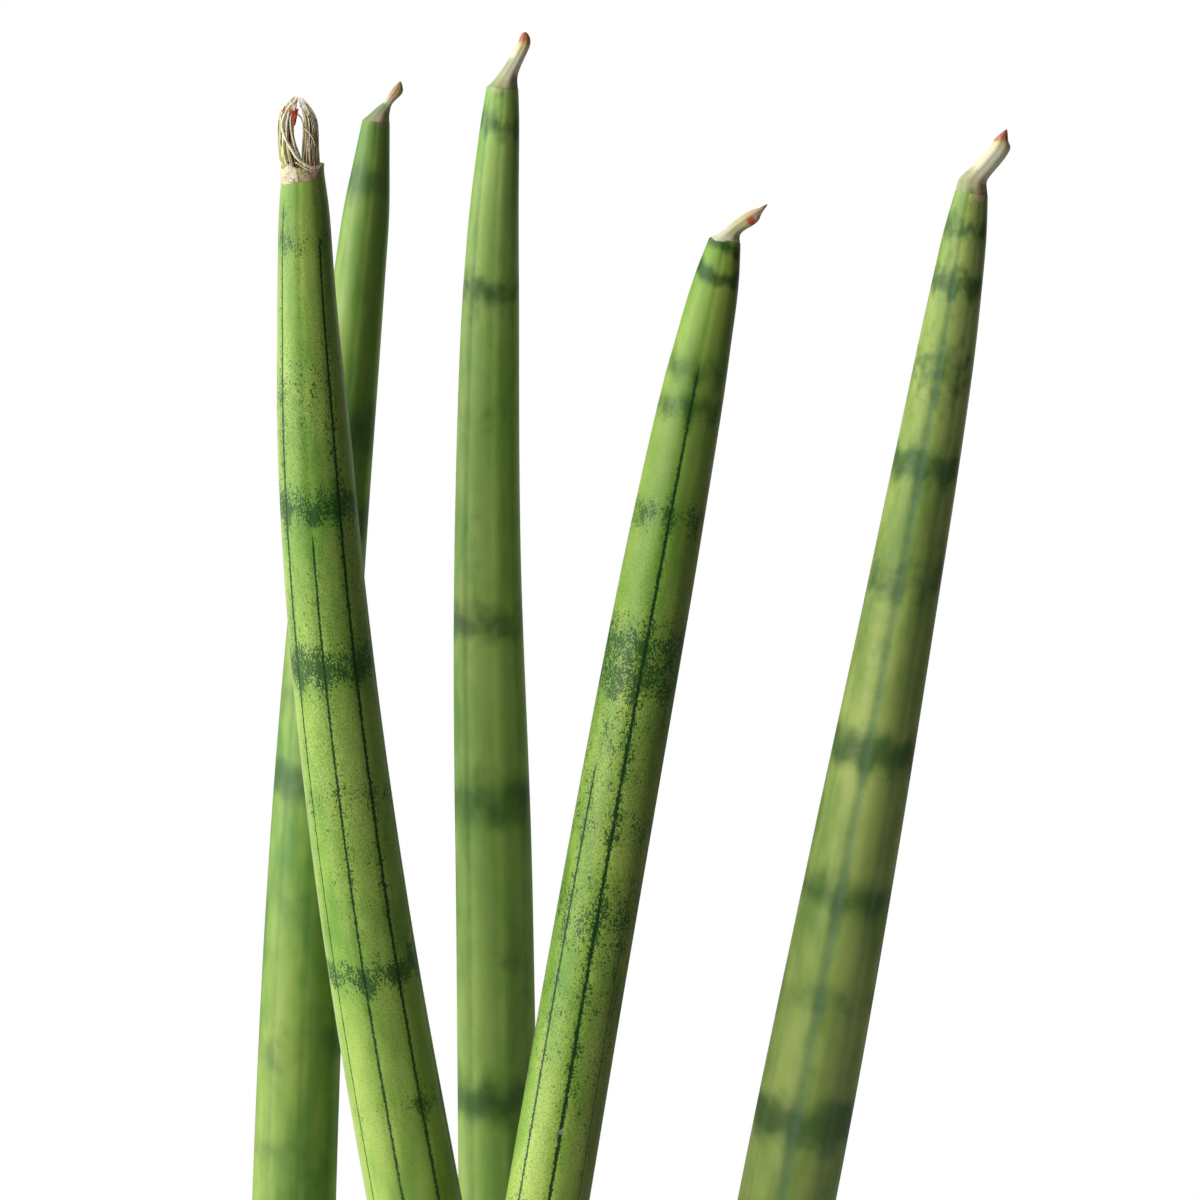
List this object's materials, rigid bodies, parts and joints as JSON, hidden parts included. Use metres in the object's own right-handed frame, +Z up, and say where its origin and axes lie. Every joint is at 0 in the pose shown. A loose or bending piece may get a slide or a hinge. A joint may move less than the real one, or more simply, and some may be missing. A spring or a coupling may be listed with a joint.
{
  "type": "potted cylindrical snake plant",
  "caption": "Upright round snake plant leaves, grooved and tapering to dried ends, growing from a rhizome in the soil of a plain clay pot.",
  "frame": {"origin": "middle of the pot's underside, on the surface that the pot stands on", "axes": "+Z up, along the leaves; -Y towards the front of the plant; +X to the right, where the outermost leaf leans"},
  "size_m": [0.2263, 0.17, 0.6329],
  "materials": {
    "clay": "matte",
    "soil": "matte",
    "rhizome": "satin",
    "leaf": "satin",
    "dry_tip": "matte"
  },
  "bodies": {
    "root": {"pot": "clay", "soil": "soil", "rhizome": "rhizome", "leaf_front_left": "leaf", "dry_tip_front_left": "dry_tip", "leaf_back_left": "leaf", "dry_tip_back_left": "dry_tip", "leaf_centre_back": "leaf", "dry_tip_centre_back": "dry_tip", "leaf_front_right": "leaf", "dry_tip_front_right": "dry_tip", "leaf_far_right": "leaf", "dry_tip_far_right": "dry_tip"}
  },
  "joints": []
}
